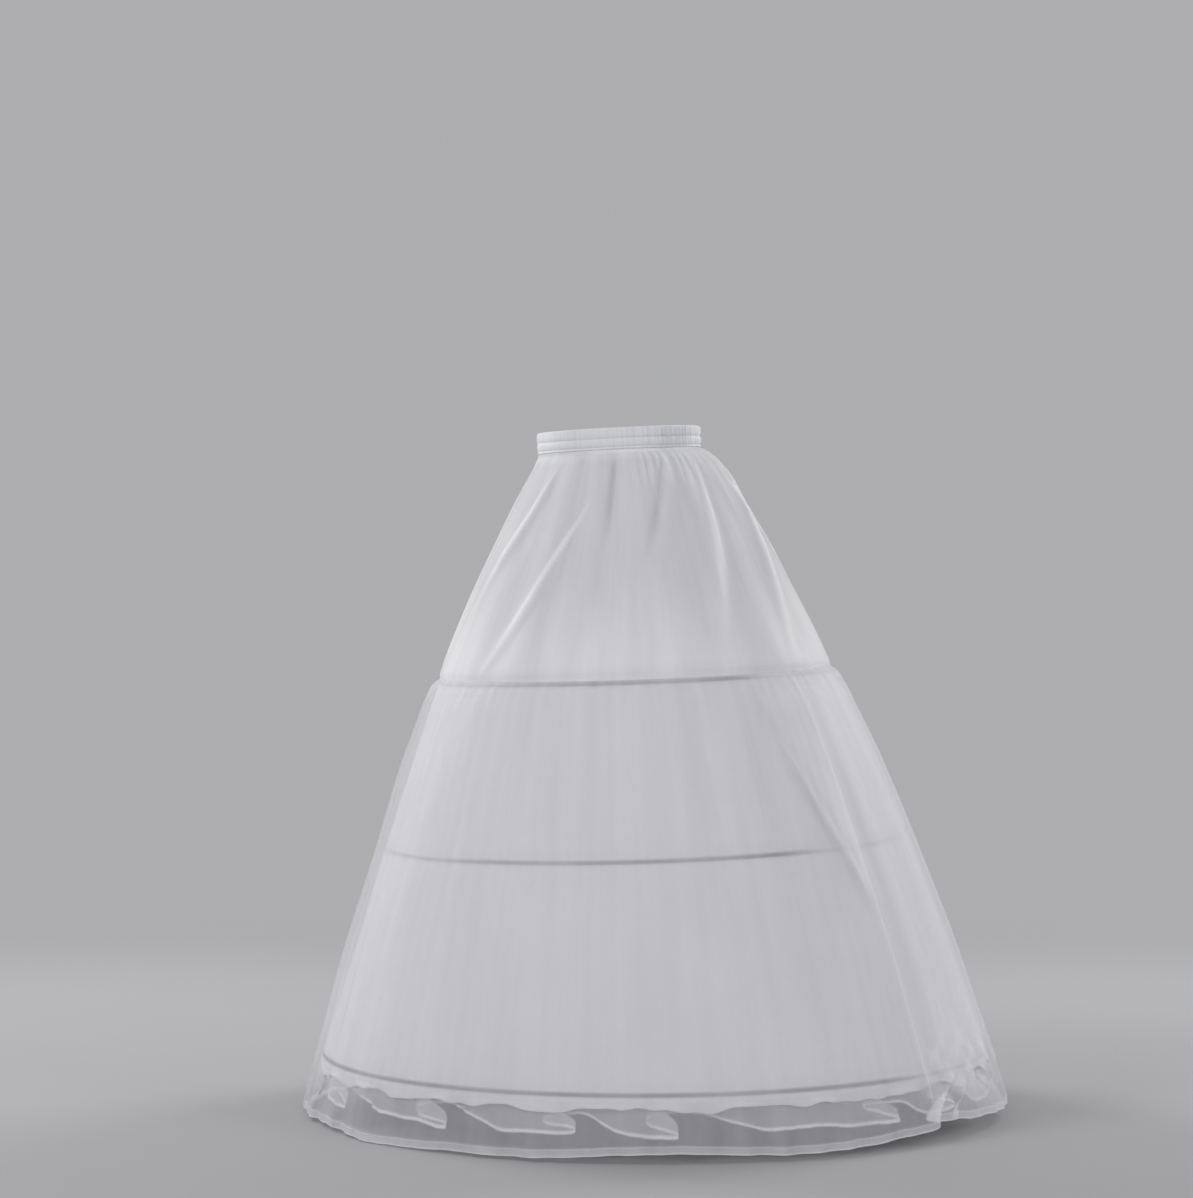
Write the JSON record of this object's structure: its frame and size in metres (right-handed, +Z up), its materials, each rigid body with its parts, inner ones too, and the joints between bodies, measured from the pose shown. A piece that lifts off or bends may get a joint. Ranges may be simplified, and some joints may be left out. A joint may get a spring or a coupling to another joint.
{
  "type": "hoop petticoat",
  "caption": "Floor-length hooped petticoat: elastic waistband, gathered upper skirt, lining spread by hoops in casings, sheer overskirt and a pleated hem ruffle.",
  "frame": {"origin": "centre of the waist opening, level with the top edge of the waistband", "axes": "+Z up along the wearer, -Y towards the wearer's front, +X towards the wearer's left"},
  "size_m": [0.9879, 0.9874, 0.961],
  "materials": {
    "band_cloth": "white woven polyester, satin side out",
    "elastic": "woven elastic",
    "upper_cloth": "thin white lining cloth, slightly sheer",
    "lining_cloth": "plain white lining cloth",
    "organza": "sheer crisp organza",
    "casing_tape": "white tape",
    "hoop_strip": "flat spring steel strip",
    "sleeve_plastic": "pale plastic tube"
  },
  "bodies": {
    "root": {"waistband": "band_cloth", "waist_elastic": "elastic", "upper_skirt": "upper_cloth", "lining": "lining_cloth", "overskirt": "organza", "hem_ruffle": "organza", "upper_casing": "casing_tape", "middle_casing": "casing_tape", "lower_casing": "casing_tape", "upper_hoop": "hoop_strip", "middle_hoop": "hoop_strip", "lower_hoop": "hoop_strip", "upper_sleeve": "sleeve_plastic", "middle_sleeve": "sleeve_plastic", "lower_sleeve": "sleeve_plastic"}
  },
  "joints": []
}
